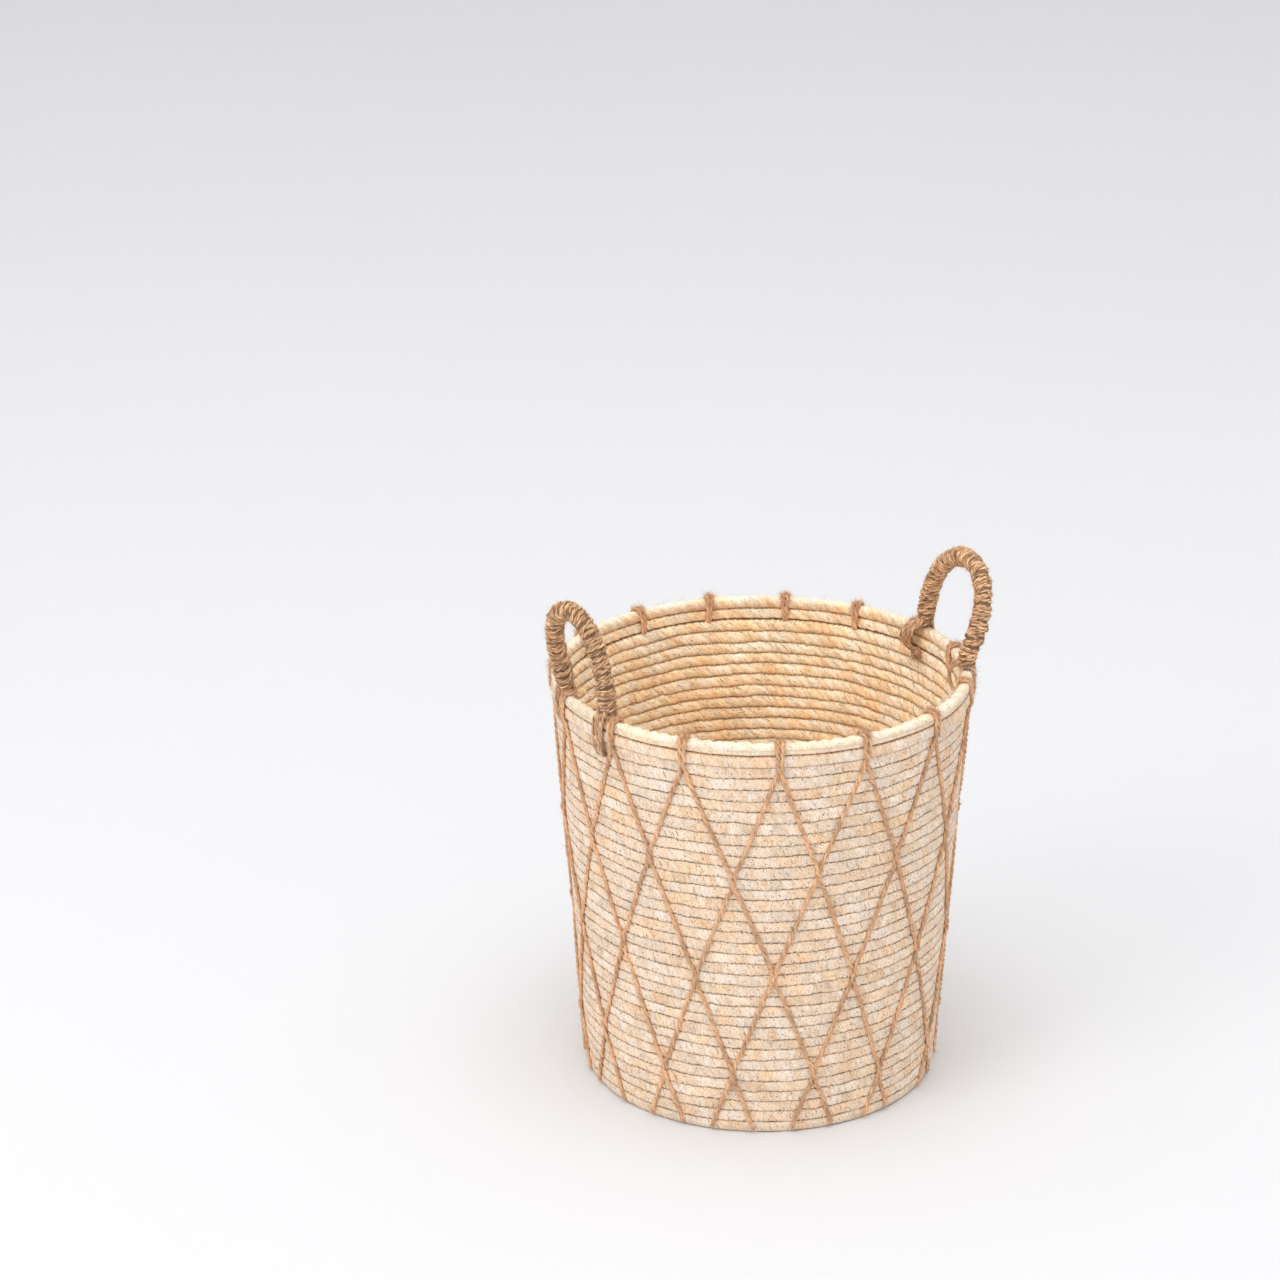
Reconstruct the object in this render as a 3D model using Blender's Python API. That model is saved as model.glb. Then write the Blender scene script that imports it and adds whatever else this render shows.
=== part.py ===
"""Woven laundry basket: coiled husk rope, a jute twine lattice and two wrapped rope handles.

Frame: metres, +Z up.  The basket stands on z = 0 and its axis is the Z axis.  The handles stand
near +X (right) and near -X (left); angles are counted from +X, counter-clockwise seen from above.
"""
import math

import bmesh
import bpy
from mathutils import Matrix, Vector

# ---- coil rows ------------------------------------------------------------------------------
ROWS = 36                      # coil rows from the rim down to the standing edge
RIM_ROWS = 2                   # rows in the rim coil, which the twine and the handles hold
BODY_HEIGHT = 0.299            # top of the rim coil
PITCH = BODY_HEIGHT / ROWS     # height of one row
SEGMENTS = 40                  # facets round the basket
GAP = 0.0003                   # clearance between touching pieces
FACET_SAG = 0.00045            # how far a facet's middle lies inside its corner circle
WALL_THICKNESS = 0.0085
GROOVE_DEPTH = 0.0011          # furrow between two rows
GROOVE_HALF = 0.0011           # half the height of a furrow
FACE_PROFILE = (               # (height, radius) of the outer faces of the rows
    (0.000, 0.1238), (0.004, 0.1256), (0.020, 0.1264), (0.050, 0.1288), (0.100, 0.1316),
    (0.150, 0.1352), (0.200, 0.1390), (0.250, 0.1425), (0.283, 0.1450), (0.300, 0.1470))

# ---- rim coil -------------------------------------------------------------------------------
RIM_OUTER = 0.1470
RIM_HALF = 0.00425             # half the radial thickness of the rim coil
RIM_MID = RIM_OUTER - RIM_HALF
RIM_BOTTOM = BODY_HEIGHT - RIM_ROWS * PITCH + GAP / 2
WALL_TOP = RIM_BOTTOM - GAP

# ---- base -----------------------------------------------------------------------------------
BASE_THICKNESS = 0.0085
BASE_RADIUS = 0.1150
BASE_RINGS = 9                 # furrows on the upper side of the base spiral
FLOOR_BEVEL = 0.0012

# ---- jute twine lattice ---------------------------------------------------------------------
TWINE_WIDTH = 0.0038
TWINE_THICKNESS = 0.0017       # the twine is pressed flat against the wall
TWINE_SIDES = 6
SPLIT_Z = 0.2770               # where the two diagonals part below the knot
END_Z = 0.0045                 # lower ends, tucked in at the standing edge
DIAGONAL_STEPS = 6
INNER_LAYER = GAP + FACET_SAG + TWINE_THICKNESS / 2
OUTER_LAYER = INNER_LAYER + TWINE_THICKNESS + GAP + 0.0003
PAIR_OFFSET = 0.0021           # half the distance between the doubled strands at an anchor
STRANDS = (                    # (anchor, left end, right end) in degrees, tied by hand
    (178.8, 135.4, 220.8), (202.6, 159.0, 243.7), (225.0, 181.6, 269.1),
    (250.7, 209.9, 290.4), (274.4, 231.0, 317.8), (299.4, 256.3, 343.0),
    (324.8, 281.5, 368.0), (352.7, 309.5, 395.5), (374.8, 332.5, 418.0),
    (396.5, 354.0, 440.0), (418.8, 375.5, 462.0), (441.4, 398.0, 485.0),
    (464.8, 421.5, 508.5), (489.4, 446.0, 532.5), (514.0, 470.0, 557.0))

# ---- handles --------------------------------------------------------------------------------
HANDLES = {                    # each loop was tied by hand, so the two differ a little
    "right": {"middle": -7.4, "leg": 17.6, "height": 0.0550, "lean": 0.0155, "twist": -0.0037,
              "bulge": 0.10},
    "left": {"middle": 187.3, "leg": 11.9, "height": 0.0600, "lean": 0.0115, "twist": -0.0040,
             "bulge": -0.04}}
SADDLE_Z = 0.3030              # top of the roots, on which the handle legs turn
BALL_RADIUS = 0.0050
AXIS_Z = SADDLE_Z + GAP + BALL_RADIUS
CORE_RADIUS = 0.0044
WRAP_INNER = CORE_RADIUS + GAP
WRAP_OUTER = 0.0068
ARCH_STEPS = 16
WRAP_START = math.radians(7.0)  # arch parameter at which the yarn wrapping begins
CORE_SIDES = 8
WRAP_SIDES = 12

# ---- handle roots ---------------------------------------------------------------------------
ROOT_WIDTH = 0.0076
ROOT_THICKNESS = 0.0032

# ---- materials: base colour, roughness ------------------------------------------------------
MATERIALS = {
    "husk_wall": ((0.72, 0.56, 0.38, 1.0), 0.85),
    "husk_rim": ((0.82, 0.74, 0.58, 1.0), 0.75),
    "husk_base": ((0.66, 0.48, 0.30, 1.0), 0.88),
    "jute_twine": ((0.47, 0.26, 0.12, 1.0), 0.92),
    "jute_core": ((0.40, 0.24, 0.12, 1.0), 0.92),
    "jute_wrap": ((0.45, 0.28, 0.15, 1.0), 0.90),
    "jute_root": ((0.38, 0.22, 0.10, 1.0), 0.94),
}


def clear_scene():
    """Remove every object that is already there."""
    for obj in list(bpy.data.objects):
        bpy.data.objects.remove(obj, do_unlink=True)


def make_material(name):
    """A plain Principled material from the MATERIALS table."""
    colour, roughness = MATERIALS[name]
    material = bpy.data.materials.new(name)
    material.use_nodes = True
    shader = material.node_tree.nodes["Principled BSDF"]
    shader.inputs["Base Color"].default_value = colour
    shader.inputs["Roughness"].default_value = roughness
    shader.inputs["Metallic"].default_value = 0.0
    return material


def finish_object(name, bm, material, smooth_deg=50.0):
    """Turn a bmesh into a named object with outward normals and smooth round faces."""
    bmesh.ops.recalc_face_normals(bm, faces=bm.faces)
    for face in bm.faces:
        face.smooth = True
    mesh = bpy.data.meshes.new(name)
    bm.to_mesh(mesh)
    bm.free()
    mesh.set_sharp_from_angle(angle=math.radians(smooth_deg))
    mesh.materials.append(material)
    obj = bpy.data.objects.new(name, mesh)
    bpy.context.scene.collection.objects.link(obj)
    return obj


def revolve(profile, closed):
    """Spin a profile of (radius, height) points about Z; an open one must end on the axis."""
    bm = bmesh.new()
    verts = [bm.verts.new((radius, 0.0, height)) for radius, height in profile]
    edges = [bm.edges.new(pair) for pair in zip(verts, verts[1:])]
    if closed:
        edges.append(bm.edges.new((verts[-1], verts[0])))
    bmesh.ops.spin(bm, geom=verts + edges, cent=(0, 0, 0), axis=(0, 0, 1), dvec=(0, 0, 0),
                   angle=2 * math.pi, steps=SEGMENTS, use_merge=True, use_duplicate=False)
    bmesh.ops.remove_doubles(bm, verts=bm.verts, dist=0.00001)
    return bm


def face_radius(z):
    """Outer radius of the wall at height z."""
    for (z0, r0), (z1, r1) in zip(FACE_PROFILE, FACE_PROFILE[1:]):
        if z <= z1:
            return r0 + (r1 - r0) * (z - z0) / (z1 - z0)
    return FACE_PROFILE[-1][1]


def polar(angle, radius, z):
    """Point at an angle (radians) and radius about the basket's axis."""
    return Vector((radius * math.cos(angle), radius * math.sin(angle), z))


# ---- coiled husk pieces ---------------------------------------------------------------------
def wall_profile():
    """Closed section of the wall: flat-faced rows with furrows outside, plain inside."""
    outside = []
    for row in range(ROWS - RIM_ROWS):
        low = row * PITCH
        high = min(low + PITCH, WALL_TOP)
        if row > 0:
            outside.append((face_radius(low) - GROOVE_DEPTH, low))
            outside.append((face_radius(low + GROOVE_HALF), low + GROOVE_HALF))
        else:
            outside.append((face_radius(0.0), 0.0))
            outside.append((face_radius(0.004), 0.004))
        outside.append((face_radius(high - GROOVE_HALF), high - GROOVE_HALF))
    outside.append((face_radius(WALL_TOP) - GROOVE_DEPTH, WALL_TOP))
    inside = [(face_radius(z) - WALL_THICKNESS, z) for z in (WALL_TOP, 0.2, 0.1, 0.02)]
    foot = BASE_RADIUS + GAP + FACET_SAG
    inside.append((foot, BASE_THICKNESS + 0.003))
    inside.append((foot, 0.0))
    return outside + inside


def notch_box(bm, angle, shift, width, bottom):
    """A cutter through the wall's top edge, radial at an angle, moved sideways by shift."""
    depth = 3 * WALL_THICKNESS
    height = 0.02
    place = (Matrix.Rotation(angle, 4, "Z")
             @ Matrix.Translation((RIM_MID, shift, bottom + height / 2))
             @ Matrix.Diagonal((depth, width, height, 1.0)))
    bmesh.ops.create_cube(bm, size=1.0, matrix=place)


def cut_notches(wall):
    """Openings under the rim coil where the twine and the handle bundles pass the wall."""
    bm = bmesh.new()
    for anchor, _, _ in STRANDS:
        notch_box(bm, math.radians(anchor), PAIR_OFFSET, TWINE_WIDTH + 2 * GAP,
                  WALL_TOP - TWINE_THICKNESS - GAP)
    for handle in HANDLES.values():
        for side in (-1, 1):
            angle = math.radians(handle["middle"] + side * handle["leg"])
            notch_box(bm, angle, 0.0, ROOT_WIDTH + 2 * GAP, WALL_TOP - ROOT_THICKNESS - GAP)
    mesh = bpy.data.meshes.new("notch_cutter")
    bm.to_mesh(mesh)
    bm.free()
    cutter = bpy.data.objects.new("notch_cutter", mesh)
    bpy.context.scene.collection.objects.link(cutter)
    cutter.hide_render = True
    cutter.display_type = "WIRE"
    cut = wall.modifiers.new("notches", "BOOLEAN")
    cut.operation = "DIFFERENCE"
    cut.solver = "EXACT"
    cut.object = cutter


def rim_profile():
    """Closed section of the two rim rows, round on top."""
    half = RIM_HALF
    waist = RIM_BOTTOM + PITCH - GAP
    right = [(half * 0.75, RIM_BOTTOM), (half, RIM_BOTTOM + 0.0021),
             (half, waist - 0.0022), (half * 0.8, waist), (half, waist + 0.0022),
             (half * 0.94, BODY_HEIGHT - 0.0028), (half * 0.55, BODY_HEIGHT - 0.0006)]
    left = [(-dr, z) for dr, z in reversed(right)]
    points = right + [(0.0, BODY_HEIGHT)] + left
    return [(RIM_MID + dr, z) for dr, z in points]


def base_profile():
    """Open section of the base disc: flat underside, furrowed upper side."""
    points = [(0.0, 0.0), (BASE_RADIUS - FLOOR_BEVEL, 0.0), (BASE_RADIUS, FLOOR_BEVEL),
              (BASE_RADIUS, BASE_THICKNESS - FLOOR_BEVEL)]
    width = BASE_RADIUS / (BASE_RINGS + 1)
    for ring in range(BASE_RINGS, 0, -1):
        groove = ring * width
        points.append((groove, BASE_THICKNESS - GROOVE_DEPTH))
        points.append((groove - width / 2, BASE_THICKNESS))
    points.append((0.0, BASE_THICKNESS))
    return points


def build_coils():
    """Base disc, wall and rim coil."""
    finish_object("base_coil", revolve(base_profile(), False), make_material("husk_base"))
    wall = finish_object("wall_coil", revolve(wall_profile(), True), make_material("husk_wall"))
    cut_notches(wall)
    finish_object("rim_coil", revolve(rim_profile(), True), make_material("husk_rim"))


# ---- swept pieces ---------------------------------------------------------------------------
def sweep(rings):
    """Skin a list of equal-sized rings of points and close both ends."""
    bm = bmesh.new()
    loops = [[bm.verts.new(point) for point in ring] for ring in rings]
    count = len(loops[0])
    for lower, upper in zip(loops, loops[1:]):
        for i in range(count):
            j = (i + 1) % count
            bm.faces.new((lower[i], lower[j], upper[j], upper[i]))
    bm.faces.new(list(reversed(loops[0])))
    bm.faces.new(loops[-1])
    return bm


def flat_ring(centre, tangent, normal, width, thickness):
    """Flattened hexagonal section: width across, thickness along the normal."""
    across = tangent.cross(normal).normalized()
    out = across.cross(tangent).normalized()
    ring = []
    for i in range(TWINE_SIDES):
        turn = 2 * math.pi * i / TWINE_SIDES
        ring.append(centre + across * (width / 2 * math.cos(turn))
                    + out * (thickness / 2 * math.sin(turn) / math.sin(math.pi / 3)))
    return ring


def rim_loop(anchor):
    """The strand's way up, over the rim coil, down inside and out under it: (point, normal)."""
    clear = GAP + TWINE_THICKNESS / 2
    outer = RIM_HALF + clear
    inner = outer + FACET_SAG
    top = BODY_HEIGHT + clear + 0.0001
    under = WALL_TOP - TWINE_THICKNESS / 2
    steps = (                  # sideways shift, from the rim's middle, height, normal (r, z)
        (-PAIR_OFFSET, outer, SPLIT_Z + 0.0090, 1.0, 0.0),
        (-PAIR_OFFSET, outer, BODY_HEIGHT - 0.0045, 1.0, 0.0),
        (-PAIR_OFFSET, outer - 0.0003, BODY_HEIGHT - 0.0020, 0.9, 0.4),
        (-PAIR_OFFSET / 2, outer - 0.0019, BODY_HEIGHT + 0.0004, 0.5, 0.9),
        (0.0, 0.0, top, 0.0, 1.0),
        (PAIR_OFFSET / 2, 0.0019 - inner, BODY_HEIGHT + 0.0004, -0.5, 0.9),
        (PAIR_OFFSET, 0.0003 - inner, BODY_HEIGHT - 0.0020, -0.9, 0.4),
        (PAIR_OFFSET, -inner, BODY_HEIGHT - 0.0045, -1.0, 0.0),
        (PAIR_OFFSET, -inner, RIM_BOTTOM + 0.0018, -1.0, 0.0),
        (PAIR_OFFSET, 0.0016 - inner, under, 0.0, -1.0),
        (PAIR_OFFSET, 0.0025, under, 0.0, -1.0))
    path = []
    for shift, offset, z, n_radial, n_z in steps:
        radius = RIM_MID + offset
        angle = anchor + shift / radius
        normal = polar(angle, n_radial, 0.0) + Vector((0, 0, n_z))
        path.append((polar(angle, radius, z), normal))
    return path


def diagonal(start, end, layer, sign):
    """Straight run on the wall from below the knot to the standing edge: (point, normal)."""
    path = []
    for i in range(DIAGONAL_STEPS + 1):
        part = i / DIAGONAL_STEPS
        z = SPLIT_Z + (END_Z - SPLIT_Z) * part
        angle = start + (end - start) * part
        path.append((polar(angle, face_radius(z) + layer, z), polar(angle, sign, 0.0)))
    return path


def build_strand(number, anchor_deg, left_deg, right_deg, material):
    """One twine strand: up its left diagonal, round the rim coil, down its right diagonal."""
    anchor, left, right = (math.radians(a) for a in (anchor_deg, left_deg, right_deg))
    shift = PAIR_OFFSET / face_radius(SPLIT_Z)
    path = list(reversed(diagonal(anchor - shift, left, INNER_LAYER, 1)))
    path += rim_loop(anchor)
    turn_z = WALL_TOP - 0.0016
    turn = anchor + shift
    path.append((polar(turn, face_radius(turn_z) + OUTER_LAYER, turn_z), polar(turn, -1, 0.0)))
    path += diagonal(anchor + shift, right, OUTER_LAYER, -1)
    rings = []
    last = len(path) - 1
    for i, (point, normal) in enumerate(path):
        ahead = path[min(i + 1, last)][0] - point
        behind = point - path[max(i - 1, 0)][0]
        tangent = Vector((0, 0, 0))
        for step in (ahead, behind):
            if step.length > 0:
                tangent += step.normalized()
        tangent.normalize()
        rings.append(flat_ring(point, tangent, normal, TWINE_WIDTH, TWINE_THICKNESS))
    finish_object(f"twine_strand_{number:02d}", sweep(rings), material, 80.0)


def build_lattice():
    """The fifteen strands of the criss-cross lattice."""
    material = make_material("jute_twine")
    for number, (anchor, left, right) in enumerate(STRANDS, start=1):
        build_strand(number, anchor, left, right, material)


# ---- handles --------------------------------------------------------------------------------
def arch_point(handle, turn):
    """Point of a handle's rope, in the handle's frame (x outwards, y along the rim)."""
    half_span = RIM_MID * math.sin(math.radians(handle["leg"]))
    rise = math.sin(turn)
    along = -math.cos(turn)
    outward = handle["lean"] * rise + 2 * handle["twist"] * along * rise
    return Vector((outward, half_span * along * (1 + handle["bulge"] * rise),
                   handle["height"] * rise))


def arch_frame(handle, turn):
    """Point, tangent and outward side of a handle's rope."""
    delta = 0.001
    ahead = arch_point(handle, turn + delta)
    tangent = (ahead - arch_point(handle, turn - delta)).normalized()
    side = Vector((1.0, 0.0, 0.0))
    side = (side - tangent * side.dot(tangent)).normalized()
    return arch_point(handle, turn), tangent, side


def round_ring(centre, tangent, side, radius, count):
    """Circle of points about a tangent."""
    third = tangent.cross(side).normalized()
    ring = []
    for i in range(count):
        turn = 2 * math.pi * i / count
        ring.append(centre + side * (radius * math.cos(turn)) + third * (radius * math.sin(turn)))
    return ring


def ball_end(foot, up):
    """Rings of the half ball at one leg's foot, from its tip to its middle."""
    side = Vector((1.0, 0.0, 0.0))
    side = (side - up * side.dot(up)).normalized()
    rings = []
    for latitude in (80.0, 55.0, 28.0, 0.0):
        depth = BALL_RADIUS * math.sin(math.radians(latitude))
        radius = BALL_RADIUS * math.cos(math.radians(latitude))
        rings.append(round_ring(foot - up * depth, up, side, radius, CORE_SIDES))
    return rings


def handle_matrix(handle):
    """Handle frame: origin on the hinge axis, x outwards, y along the rim."""
    chord = RIM_MID * math.cos(math.radians(handle["leg"]))
    return (Matrix.Rotation(math.radians(handle["middle"]), 4, "Z")
            @ Matrix.Translation((chord, 0.0, AXIS_Z)))


def build_core(name, handle, material):
    """Rope core of a handle, with ball-shaped feet centred on the hinge axis."""
    first, tangent, _ = arch_frame(handle, 0.0)
    rings = ball_end(first, tangent)
    for i in range(1, ARCH_STEPS):
        point, tangent, side = arch_frame(handle, math.pi * i / ARCH_STEPS)
        rings.append(round_ring(point, tangent, side, CORE_RADIUS, CORE_SIDES))
    last, tangent, _ = arch_frame(handle, math.pi)
    mirrored = ball_end(last, -tangent)
    for ring in reversed(mirrored):
        rings.append([ring[-i % CORE_SIDES] for i in range(CORE_SIDES)])
    obj = finish_object(name, sweep(rings), material)
    obj.matrix_world = handle_matrix(handle)


def build_wrap(name, handle, material):
    """Yarn wrapping of a handle: an arched sleeve, open at both ends, round the core."""
    bm = bmesh.new()
    skins = []
    span = math.pi - 2 * WRAP_START
    for radius in (WRAP_OUTER, WRAP_INNER + FACET_SAG):
        rings = []
        for i in range(ARCH_STEPS + 1):
            turn = WRAP_START + span * i / ARCH_STEPS
            point, tangent, side = arch_frame(handle, turn)
            ring = round_ring(point, tangent, side, radius, WRAP_SIDES)
            rings.append([bm.verts.new(p) for p in ring])
        skins.append(rings)
    for rings in skins:
        for lower, upper in zip(rings, rings[1:]):
            for i in range(WRAP_SIDES):
                j = (i + 1) % WRAP_SIDES
                bm.faces.new((lower[i], lower[j], upper[j], upper[i]))
    for end in (0, -1):
        outer, inner = skins[0][end], skins[1][end]
        for i in range(WRAP_SIDES):
            j = (i + 1) % WRAP_SIDES
            bm.faces.new((outer[i], outer[j], inner[j], inner[i]))
    obj = finish_object(name, bm, material)
    obj.matrix_world = handle_matrix(handle)


def build_root(name, angle_deg, material):
    """Unwrapped jute bundle: a closed band round the rim coil, through the wall's notch."""
    inner_r = RIM_MID - RIM_HALF - FACET_SAG - GAP
    outer_r = RIM_OUTER + GAP
    under = WALL_TOP
    over = BODY_HEIGHT + GAP
    hole = [(inner_r, under), (outer_r, under), (outer_r, over - 0.0022),
            (outer_r - 0.0022, over), (inner_r + 0.0022, over), (inner_r, over - 0.0022)]
    t = ROOT_THICKNESS
    skin = [(inner_r - t, under - t), (outer_r + t, under - t), (outer_r + t, over - 0.0010),
            (outer_r, SADDLE_Z), (inner_r, SADDLE_Z), (inner_r - t, over - 0.0010)]
    bm = bmesh.new()
    loops = {}
    for side in (-1, 1):
        for key, points in (("hole", hole), ("skin", skin)):
            loops[key, side] = [bm.verts.new((r, side * ROOT_WIDTH / 2, z)) for r, z in points]
    count = len(hole)
    for i in range(count):
        j = (i + 1) % count
        for key in ("hole", "skin"):
            low, high = loops[key, -1], loops[key, 1]
            bm.faces.new((low[i], low[j], high[j], high[i]))
        for side in (-1, 1):
            edge, bore = loops["skin", side], loops["hole", side]
            bm.faces.new((edge[i], edge[j], bore[j], bore[i]))
    obj = finish_object(name, bm, material, 30.0)
    obj.matrix_world = Matrix.Rotation(math.radians(angle_deg), 4, "Z")


def build_handles():
    """Both handles and their four roots."""
    core = make_material("jute_core")
    wrap = make_material("jute_wrap")
    root = make_material("jute_root")
    for side, handle in HANDLES.items():
        build_core(f"handle_{side}_core", handle, core)
        build_wrap(f"handle_{side}_wrap", handle, wrap)
        build_root(f"handle_{side}_root_a", handle["middle"] - handle["leg"], root)
        build_root(f"handle_{side}_root_b", handle["middle"] + handle["leg"], root)


clear_scene()
build_coils()
build_lattice()
build_handles()
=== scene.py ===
"""Woven laundry basket: sewn coils of husk rope, a jute lattice and two yarn-wrapped handles.

Metres, +Z up.  Angles are counted from +X, counter-clockwise seen from above.
"""
import math

import bpy
import numpy as np
from mathutils import Matrix, Vector


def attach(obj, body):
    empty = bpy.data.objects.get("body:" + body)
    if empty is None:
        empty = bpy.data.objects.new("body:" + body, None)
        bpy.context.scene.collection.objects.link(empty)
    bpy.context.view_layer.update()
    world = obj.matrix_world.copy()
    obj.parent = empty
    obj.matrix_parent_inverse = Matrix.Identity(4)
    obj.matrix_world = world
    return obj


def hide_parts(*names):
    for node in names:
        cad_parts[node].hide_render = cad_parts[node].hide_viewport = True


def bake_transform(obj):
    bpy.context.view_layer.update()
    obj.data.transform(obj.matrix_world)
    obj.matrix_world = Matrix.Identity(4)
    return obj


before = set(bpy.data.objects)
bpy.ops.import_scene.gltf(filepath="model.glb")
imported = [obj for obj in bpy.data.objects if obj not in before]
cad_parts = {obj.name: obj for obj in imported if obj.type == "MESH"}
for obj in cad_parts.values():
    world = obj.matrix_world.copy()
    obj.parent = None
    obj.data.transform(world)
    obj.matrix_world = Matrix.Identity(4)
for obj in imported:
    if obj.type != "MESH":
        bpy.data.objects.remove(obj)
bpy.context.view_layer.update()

TAU = 2 * math.pi
seeded = np.random.default_rng

# ---- coil rows, as in the solid model ----
ROWS = 36
RIM_ROWS = 2
BODY_HEIGHT = 0.299
PITCH = BODY_HEIGHT / ROWS
WALL_THICKNESS = 0.0085
PROFILE_Z = (0.000, 0.004, 0.020, 0.050, 0.100, 0.150, 0.200, 0.250, 0.283, 0.300)
PROFILE_R = (0.1238, 0.1256, 0.1264, 0.1288, 0.1316, 0.1352, 0.1390, 0.1425, 0.1450, 0.1470)
RIM_OUTER = 0.1470
RIM_HALF = 0.00425
RIM_MID = RIM_OUTER - RIM_HALF
OVER_RIM = RIM_HALF + 0.0011   # from the rim's middle to the strands that lie on its faces
BASE_THICKNESS = 0.0085
BASE_RADIUS = 0.1150

# ---- lattice and handles, as in the solid model ----
SPLIT_Z = 0.2770
END_Z = 0.0045
PAIR_OFFSET = 0.0021
STRANDS = (                    # (anchor, left end, right end) in degrees
    (178.8, 135.4, 220.8), (202.6, 159.0, 243.7), (225.0, 181.6, 269.1),
    (250.7, 209.9, 290.4), (274.4, 231.0, 317.8), (299.4, 256.3, 343.0),
    (324.8, 281.5, 368.0), (352.7, 309.5, 395.5), (374.8, 332.5, 418.0),
    (396.5, 354.0, 440.0), (418.8, 375.5, 462.0), (441.4, 398.0, 485.0),
    (464.8, 421.5, 508.5), (489.4, 446.0, 532.5), (514.0, 470.0, 557.0))
HANDLES = {
    "right": {"middle": -7.4, "leg": 17.6, "height": 0.0550, "lean": 0.0155, "twist": -0.0037,
              "bulge": 0.10},
    "left": {"middle": 187.3, "leg": 11.9, "height": 0.0600, "lean": 0.0115, "twist": -0.0040,
             "bulge": -0.04}}
AXIS_Z = 0.3083
WRAP_OUTER = 0.0068

# ---- fineness ----
COLUMNS = 880                  # columns of the coil meshes round the basket
ANGLES = np.arange(COLUMNS) * TAU / COLUMNS
OUTSIDE_V = np.array((0.0, 0.05, 0.12, 0.25, 0.5, 0.75, 0.88, 0.95))
INSIDE_V = np.array((0.0, 0.07, 0.2, 0.4, 0.6, 0.8, 0.93))


# ---- camera, light and floor ----
CAMERA_PLACE = (-0.9400, -2.0867, 1.1807)
CAMERA_RIGHT = Vector((0.92631, -0.37678, 0.0))
CAMERA_UP = Vector((0.13284, 0.32658, 0.93579))
CAMERA_FORWARD = Vector((0.35259, 0.86683, -0.35256))
CAMERA_ROLL = math.radians(-0.43282)
CAMERA_LENS = 98.84
WORLD_STRENGTH = 1.06
LAMP_TARGET = Vector((0, 0, 0.15))
LAMPS = (                      # name, place, size, power: white discs facing the basket
    ("key", (-3.2, -1.0, 2.4), 2.2, 34.0),
    ("front", (-0.9, -3.4, 1.3), 2.4, 10.0),
    ("top", (-0.2, -0.5, 3.4), 2.0, 28.0))
FLOOR_RADIUS = 5.0             # flat part of the floor
COVE_RADIUS = 1.5              # its curve up into the backdrop
BACKDROP_HEIGHTS = (3.0, 4.5)
FLOOR_STEPS = 12
FLOOR_COLUMNS = 96
FLOOR_DROP = 0.0002            # keeps the floor just below the standing face


def build_camera(scene):
    """The camera, in front of the basket, to its left and above it."""
    camera = bpy.data.objects.new("camera", bpy.data.cameras.new("camera"))
    scene.collection.objects.link(camera)
    camera.data.lens = CAMERA_LENS
    camera.data.clip_start = 0.05
    camera.data.clip_end = 60.0
    cosine, sine = math.cos(CAMERA_ROLL), math.sin(CAMERA_ROLL)
    right = CAMERA_RIGHT * cosine + CAMERA_UP * sine
    up = CAMERA_UP * cosine - CAMERA_RIGHT * sine
    turn = Matrix((right, up, -CAMERA_FORWARD)).transposed().to_4x4()
    camera.matrix_world = Matrix.Translation(CAMERA_PLACE) @ turn
    scene.camera = camera


def build_light(scene):
    """An even white surround and three soft discs."""
    scene.view_settings.view_transform = "Standard"
    world = bpy.data.worlds.new("studio")
    world.use_nodes = True
    background = world.node_tree.nodes["Background"]
    background.inputs["Color"].default_value = (1.0, 1.0, 1.0, 1.0)
    background.inputs["Strength"].default_value = WORLD_STRENGTH
    scene.world = world
    for name, place, size, power in LAMPS:
        data = bpy.data.lights.new(name, "AREA")
        data.shape = "DISK"
        data.size = size
        data.energy = power
        lamp = bpy.data.objects.new(name, data)
        lamp.location = place
        lamp.rotation_euler = (LAMP_TARGET - Vector(place)).to_track_quat("-Z", "Y").to_euler()
        scene.collection.objects.link(lamp)


def build_floor(scene):
    """A round pale floor that curves up into a backdrop."""
    bend = np.linspace(0, math.pi / 2, FLOOR_STEPS)[1:]
    flat = np.linspace(0.0, FLOOR_RADIUS, FLOOR_STEPS)[1:]
    outermost = FLOOR_RADIUS + COVE_RADIUS
    radii = np.concatenate((flat, FLOOR_RADIUS + COVE_RADIUS * np.sin(bend), (outermost,) * 2))
    heights = np.concatenate((np.zeros(len(flat)), COVE_RADIUS - COVE_RADIUS * np.cos(bend),
                              BACKDROP_HEIGHTS))
    turns = np.arange(FLOOR_COLUMNS) * TAU / FLOOR_COLUMNS
    points = cylinder_points(turns, radii[:, None], heights[:, None]).reshape(-1, 3)
    fan = [(len(points), (i + 1) % FLOOR_COLUMNS, i) for i in range(FLOOR_COLUMNS)]
    quads = grid_faces(len(radii), FLOOR_COLUMNS, False, True)
    mesh = bpy.data.meshes.new("floor")
    mesh.from_pydata(points.tolist() + [(0.0, 0.0, 0.0)], [], quads.tolist() + fan)
    mesh.shade_smooth()
    mesh.materials.append(floor_material())
    floor = bpy.data.objects.new("floor", mesh)
    floor.location.z = -FLOOR_DROP
    scene.collection.objects.link(floor)


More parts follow.
